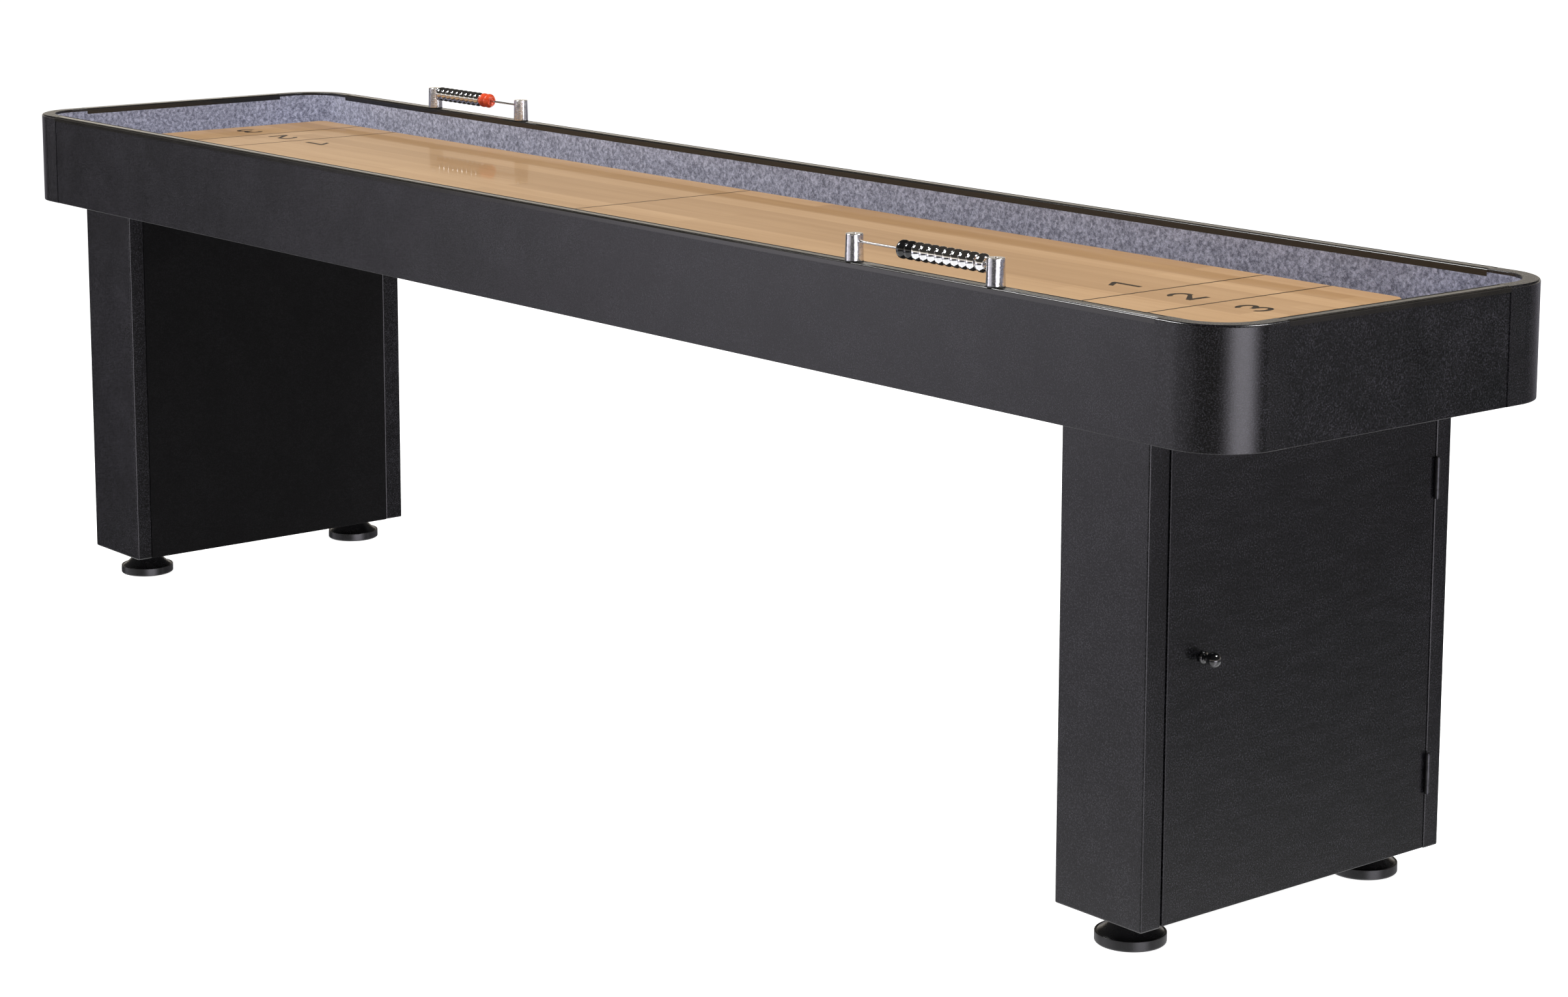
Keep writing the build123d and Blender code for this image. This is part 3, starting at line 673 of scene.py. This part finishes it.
def make_gutter_carpet():
    """The felt on the gutter floor, an uneven sheet that stops at the risers."""
    low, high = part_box("gutter_carpet")
    riser_low, riser_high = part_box("playfield_risers")
    inset = RAIL_WIDTH - CARPET_THICK + 0.6 * MM
    radius = CORNER_RADIUS - inset
    spacing = 7.0 * MM
    count_x = round((high.x - low.x) / spacing)
    count_y = round((high.y - low.y) / spacing)
    bm = bmesh.new()
    verts = {}
    for i in range(count_x + 1):
        for j in range(count_y + 1):
            x = low.x + (high.x - low.x) * i / count_x
            y = low.y + (high.y - low.y) * j / count_y
            if riser_low.x < x < riser_high.x and riser_low.y < y < riser_high.y:
                continue
            x, y = clamp_to_floor(x, y, inset, radius)
            height = high.z - 0.6 * MM + pile(Vector((x, y, high.z)), 0.9 * MM)
            verts[i, j] = bm.verts.new((x, y, height))
    for i in range(count_x):
        for j in range(count_y):
            corners = [verts.get(key) for key in ((i, j), (i + 1, j), (i + 1, j + 1), (i, j + 1))]
            if None not in corners:
                bm.faces.new(corners)
    bmesh.ops.dissolve_degenerate(bm, dist=0.05 * MM, edges=bm.edges)
    rim = [edge for edge in bm.edges if edge.is_boundary]
    skirt = bmesh.ops.extrude_edge_only(bm, edges=rim)
    for element in skirt["geom"]:
        if isinstance(element, bmesh.types.BMVert):
            element.co.z = low.z
    piece("gutter_felt", bm, CARPET, CABINET, ["gutter_carpet"], sharp=80.0)


# ---------------------------------------------------------------- playfield

def make_board():
    """The playfield board: rounded vertical corners and a rounded arris round its top and bottom."""
    corner = 14.0 * MM
    arris = 1.5 * MM
    half_x = BOARD_HIGH.x
    half_y = BOARD_HIGH.y
    outline = []
    for quarter in range(4):
        mid = math.pi / 2 * (quarter + 0.5)
        centre_x = math.copysign(half_x - corner, math.cos(mid))
        centre_y = math.copysign(half_y - corner, math.sin(mid))
        outline += arc((centre_x, centre_y), corner, 90 * quarter, 90 * (quarter + 1), 10)
    levels = [(BOARD_LOW.z, 0.6 * MM), (BOARD_LOW.z + 0.6 * MM, 0.0)]
    for inset, height in arc((arris, BOARD_HIGH.z - arris), arris, 180, 90, 5):
        levels.append((height, inset))
    bm = bmesh.new()
    rings = []
    for height, inset in levels:
        verts = []
        for x, y in outline:
            pull_x = x * (half_x - inset) / half_x
            pull_y = y * (half_y - inset) / half_y
            verts.append(bm.verts.new((pull_x, pull_y, height)))
        rings.append(verts)
    for lower, upper in zip(rings, rings[1:]):
        bridge(bm, lower, upper)
    bm.faces.new(rings[-1])
    bm.faces.new(list(reversed(rings[0])))
    piece("maple_board", bm, MAPLE, CABINET, ["playfield_board"])


# ---------------------------------------------------------------- scorers

def make_posts():
    """The turned scorer posts: a thin dark ring at the foot, slightly tapered body, and a bevelled top with a
    dimple.
    """
    taper = 0.9 * MM
    bevel = 0.8 * MM
    dimple = 2.0 * MM
    chrome = bmesh.new()
    foot_rings = bmesh.new()
    for low, high in islands("scorer_posts"):
        base = (high.x - low.x) / 2 - 0.05 * MM
        middle = centre_of((low, high))
        centre = Vector((middle.x, middle.y, RAIL_TOP))
        height = high.z - RAIL_TOP
        top = base - taper
        profile = [(0.0, 0.9 * MM), (base - 0.7 * MM, 0.9 * MM), (base - 0.1 * MM, 1.3 * MM)]
        profile += [(base - taper * share, height * share) for share in (0.06, 0.3, 0.6, 0.9)]
        profile += arc((top - bevel, height - bevel), bevel, 0, 90, 5)
        profile += [(dimple + 0.4 * MM, height), (dimple, height - 0.4 * MM), (dimple, height - 3 * MM),
                    (0.0, height - 3.5 * MM)]
        lathe(chrome, profile, centre, segments=72)
        # A thin black ring under each post, where a dark line runs round its foot.
        ring_profile = [(0.0, 0.05 * MM), (base, 0.05 * MM), (base, 0.6 * MM), (base - 0.4 * MM, 0.95 * MM),
                        (0.0, 0.95 * MM)]
        lathe(foot_rings, ring_profile, centre, segments=72)
    piece("scorer_post_shells", chrome, POST_CHROME, CABINET, ["scorer_posts"], sharp=28.0)
    piece("scorer_post_dark_rings", foot_rings, RUBBER, CABINET)


def make_rods():
    """The two rods, ending inside their posts."""
    bm = bmesh.new()
    for low, high in islands("scorer_rods"):
        middle = centre_of((low, high))
        radius = (high.z - low.z) / 2
        half = (high.x - low.x) / 2
        profile = [(0.0, -half), (radius, -half), (radius, 0.0), (radius, half), (0.0, half)]
        lathe(bm, profile, middle, axis="X", segments=32)
    piece("scorer_rod_bars", bm, ROD_STEEL, CABINET, ["scorer_rods"])


def bead_profile(radius, half, bore):
    """A bead with a flat rim, sloped shoulders, and a dished face on each side of its plain bore."""
    rim = 1.9 * MM
    face = radius - 3.6 * MM
    corners = [
        (radius, 0.0), (radius, rim), (face, half), (face - 1.4 * MM, half),
        (face - 2.3 * MM, half - 0.8 * MM), (radius * 0.40, half - 1.3 * MM),
        (radius * 0.28, half - 1.0 * MM), (bore + 0.3 * MM, half - 1.0 * MM),
        (bore, half - 1.4 * MM), (bore, 0.6 * MM),
    ]
    side = soften(corners, 1.5 * MM)[:-1]
    mirrored = [(r, -along) for r, along in reversed(side[1:])]
    return mirrored + side


def make_beads():
    """Every bead of both scorers, each on its own body."""
    bore = 1.56 * MM
    finish = {
        "chrome": (CHROME, "chrome"),
        "black": (BLACK_BEAD, "black_bead"),
        "red": (RED_BEAD, "red_bead"),
    }
    for body, nodes in frame["record"]["behaviour"]["bodies"].items():
        if "_bead_" not in body:
            continue
        node = nodes[0]
        low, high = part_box(node)
        material, slot = next(finish[colour] for colour in finish if f"_{colour}_" in node)
        bm = bmesh.new()
        profile = bead_profile((high.z - low.z) / 2 - 0.02 * MM, (high.x - low.x) / 2 - 0.05 * MM, bore)
        lathe(bm, profile, centre_of((low, high)), axis="X", segments=64, closed=True)
        piece(f"{node}_turned", bm, material, body, [node], sharp=60.0)


# ---------------------------------------------------------------- pedestals

def make_pedestals():
    """Side panels, inner panels and doors with eased edges."""
    for end in ("right", "left"):
        panel(f"{end}_pedestal_side_panels", f"{end}_pedestal_sides", LAMINATE, 2.4 * MM)
        # The inner panel takes the darker laminate copy: painted shade for the table's shadow on it.
        panel(f"{end}_pedestal_back", f"{end}_pedestal_inner_panel", SHADED_INNER_LAMINATE, 0.4 * MM)
        body = f"{end}_door_body"
        panel(f"{end}_door_panel", f"{end}_door", DOOR_LAMINATE, 1.0 * MM, body)


def make_knobs():
    """Ball knobs, turned about the axis that stands out of the door."""
    for end, outward in (("right", 1.0), ("left", -1.0)):
        low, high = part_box(f"{end}_door_knob")
        ball = (high.z - low.z) / 2 - 0.6 * MM
        length = high.x - low.x
        face = low.x if outward > 0 else high.x
        centre = Vector((face, (low.y + high.y) / 2, (low.z + high.z) / 2))
        neck = 3.9 * MM
        collar = arc((5.0 * MM, 2.6 * MM), 2.4 * MM, -90, 90, 10)
        ball_centre = length - ball
        start = 180 - math.degrees(math.asin(neck / ball))
        sphere = [(radius, along) for along, radius in arc((ball_centre, 0.0), ball, start, 0, 26)]
        profile = [(0.0, 0.0), (5.0 * MM, 0.0)] + collar[1:] + [(neck, 5.6 * MM)]
        profile += sphere[:-1] + [(0.0, length)]
        bm = bmesh.new()
        turned = [(radius, along * outward) for radius, along in profile]
        lathe(bm, turned, centre, axis="X", segments=64)
        piece(f"{end}_door_ball_knob", bm, KNOB_PLASTIC, f"{end}_door_body",
              [f"{end}_door_knob"], sharp=60.0)


def make_catches():
    """Magnetic catches with their pole pieces, and the strike plates on the doors."""
    pole_half = 7 * MM
    pole_margin = 3 * MM
    proud = 0.25 * MM
    cases = bmesh.new()
    poles = bmesh.new()
    for low, high in islands("door_catches"):
        eased_box(cases, low, high, 1.0 * MM)
        front = high.x if high.x > 0 else low.x
        outward = math.copysign(1.0, front)
        for share in (0.25, 0.75):
            y = low.y + (high.y - low.y) * share
            near = Vector((front, y - pole_half, low.z + pole_margin))
            far = Vector((front + outward * proud, y + pole_half, high.z - pole_margin))
            box_low = Vector([min(near[i], far[i]) for i in range(3)])
            box_high = Vector([max(near[i], far[i]) for i in range(3)])
            eased_box(poles, box_low, box_high, 0.08 * MM, 1)
    piece("door_catch_cases", cases, RUBBER, CABINET, ["door_catches"])
    piece("door_catch_poles", poles, ZINC, CABINET)
    for end in ("right", "left"):
        panel(f"{end}_door_strike_plate", f"{end}_door_strike", ZINC, 0.3 * MM,
              f"{end}_door_body")


def dress_carried_nodes():
    """Materials for the CAD nodes that keep their own shape."""
    looks = {
        "hinge_frame_leaves": HINGE_STEEL,
        "hinge_pins": HINGE_STEEL,
        "right_door_hinge_leaves": HINGE_STEEL,
        "left_door_hinge_leaves": HINGE_STEEL,
        # The cabinet floor and shelves take the darker laminate copy as well: painted shade.
        "cabinet_floor": SHADED_INNER_LAMINATE,
        "right_pedestal_shelves": SHADED_INNER_LAMINATE,
        "left_pedestal_shelves": SHADED_INNER_LAMINATE,
        "playfield_risers": SOFTWOOD,
        "score_markings": INK,
        "leveler_inserts": ZINC,
    }
    for node, material in looks.items():
        mesh = frame["nodes"][node].data
        mesh.materials.clear()
        mesh.materials.append(material)


# ---------------------------------------------------------------- feet

def foot_profile(radius):
    """Pad with rounded rim, raised bead, hollow cone, hub and threaded stem, from the floor up."""
    rim = 2.6 * MM
    pad = 13.5 * MM
    hub = 19.5 * MM
    hub_top = 34.0 * MM
    stem = 4.95 * MM
    pitch = 1.0 * MM
    thread_top = 58.0 * MM
    stem_top = 60.0 * MM
    profile = [(0.0, 0.0), (radius - rim - 1 * MM, 0.0)]
    profile += arc((radius - rim, rim), rim, -90, 0, 6)[1:]
    profile += arc((radius - 1.2 * MM, pad - 1.2 * MM), 1.2 * MM, 0, 90, 5)
    profile += [(radius - 2.2 * MM, pad), (radius - 2.9 * MM, pad - 0.4 * MM),
                (radius - 3.6 * MM, pad + 0.3 * MM)]
    for step in range(1, 9):
        share = step / 8
        inset = radius - 3.6 * MM + (hub - radius + 3.6 * MM) * share
        rise = pad + 0.3 * MM + (hub_top - 3.0 * MM - pad) * share ** 1.25
        profile.append((inset, rise))
    profile += arc((hub - 1.5 * MM, hub_top - 1.5 * MM), 1.5 * MM, 0, 90, 4)[1:]
    profile += [(stem + 1.0 * MM, hub_top), (stem - 0.5 * MM, hub_top)]
    height = hub_top
    while height < thread_top:
        profile += [(stem, height + pitch / 2), (stem - 0.55 * MM, height + pitch)]
        height += pitch
    profile += [(stem - 1.0 * MM, stem_top - 0.4 * MM), (0.0, stem_top)]
    return profile


def make_feet():
    """The four levelling feet, each on its own body."""
    for side in ("front", "rear"):
        for end in ("right", "left"):
            node = f"{side}_{end}_leveler"
            low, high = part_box(node)
            centre = centre_of((low, high))
            bm = bmesh.new()
            lathe(bm, foot_profile((high.x - low.x) / 2), Vector((centre.x, centre.y, 0.0)), segments=96)
            piece(f"{node}_turned", bm, FOOT_PLASTIC, f"{side}_{end}_foot",
                  [node], sharp=50.0)


# ---------------------------------------------------------------- stage

def make_stage():
    """Floor, lights and world."""
    mesh = bpy.data.meshes.new("studio_floor")
    half = FLOOR_HALF
    corners = [(-half, -half, 0), (half, -half, 0), (half, half, 0), (-half, half, 0)]
    mesh.from_pydata(corners, [], [(0, 1, 2, 3)])
    mesh.materials.append(studio_floor("studio_floor"))
    floor = bpy.data.objects.new("studio_floor", mesh)
    floor.visible_glossy = False
    bpy.context.scene.collection.objects.link(floor)
    area_light("left_softbox", (-2.0, -2.0, 4.0), (0.0, 0.0, 0.7), 1.6, 1.6, 178)
    area_light("right_softbox", (2.6, 1.2, 3.4), (0.2, 0.0, 0.7), 1.2, 1.2, 135)
    bpy.context.scene.world = studio_world("studio")
    bpy.context.scene.view_settings.view_transform = "Standard"


def area_light(name, place, target, width, height, power):
    """A soft rectangular light that faces a target."""
    data = bpy.data.lights.new(name, "AREA")
    data.shape = "RECTANGLE"
    data.size = width
    data.size_y = height
    data.energy = power
    light = bpy.data.objects.new(name, data)
    light.visible_camera = False
    light.location = place
    direction = Vector(target) - Vector(place)
    light.rotation_euler = direction.to_track_quat("-Z", "Y").to_euler()
    bpy.context.scene.collection.objects.link(light)


def make_camera():
    """Long-lens camera to the right of the near side, a little above the rail."""
    azimuth = math.radians(CAMERA_AZIMUTH)
    elevation = math.radians(CAMERA_ELEVATION)
    roll = math.radians(CAMERA_ROLL)
    back = Vector((
        math.sin(azimuth) * math.cos(elevation),
        -math.cos(azimuth) * math.cos(elevation),
        math.sin(elevation),
    ))
    level = (-back).cross(Vector((0, 0, 1))).normalized()
    upright = level.cross(-back)
    right = level * math.cos(roll) + upright * math.sin(roll)
    up = upright * math.cos(roll) - level * math.sin(roll)
    data = bpy.data.cameras.new("camera")
    data.sensor_width = 36.0
    data.lens = CAMERA_LENS
    data.shift_y = CAMERA_SHIFT
    data.clip_end = CAMERA_RANGE
    camera = bpy.data.objects.new("camera", data)
    facing = Matrix((right, up, back)).transposed().to_4x4()
    camera.matrix_world = Matrix.Translation(CAMERA_PLACE) @ facing
    bpy.context.scene.collection.objects.link(camera)
    bpy.context.scene.camera = camera


make_camera()
make_aprons()
make_corners()
make_caps()
make_wall_carpet()
make_gutter_carpet()
make_board()
make_posts()
make_rods()
make_beads()
make_pedestals()
make_knobs()
make_catches()
make_feet()
dress_carried_nodes()
make_stage()
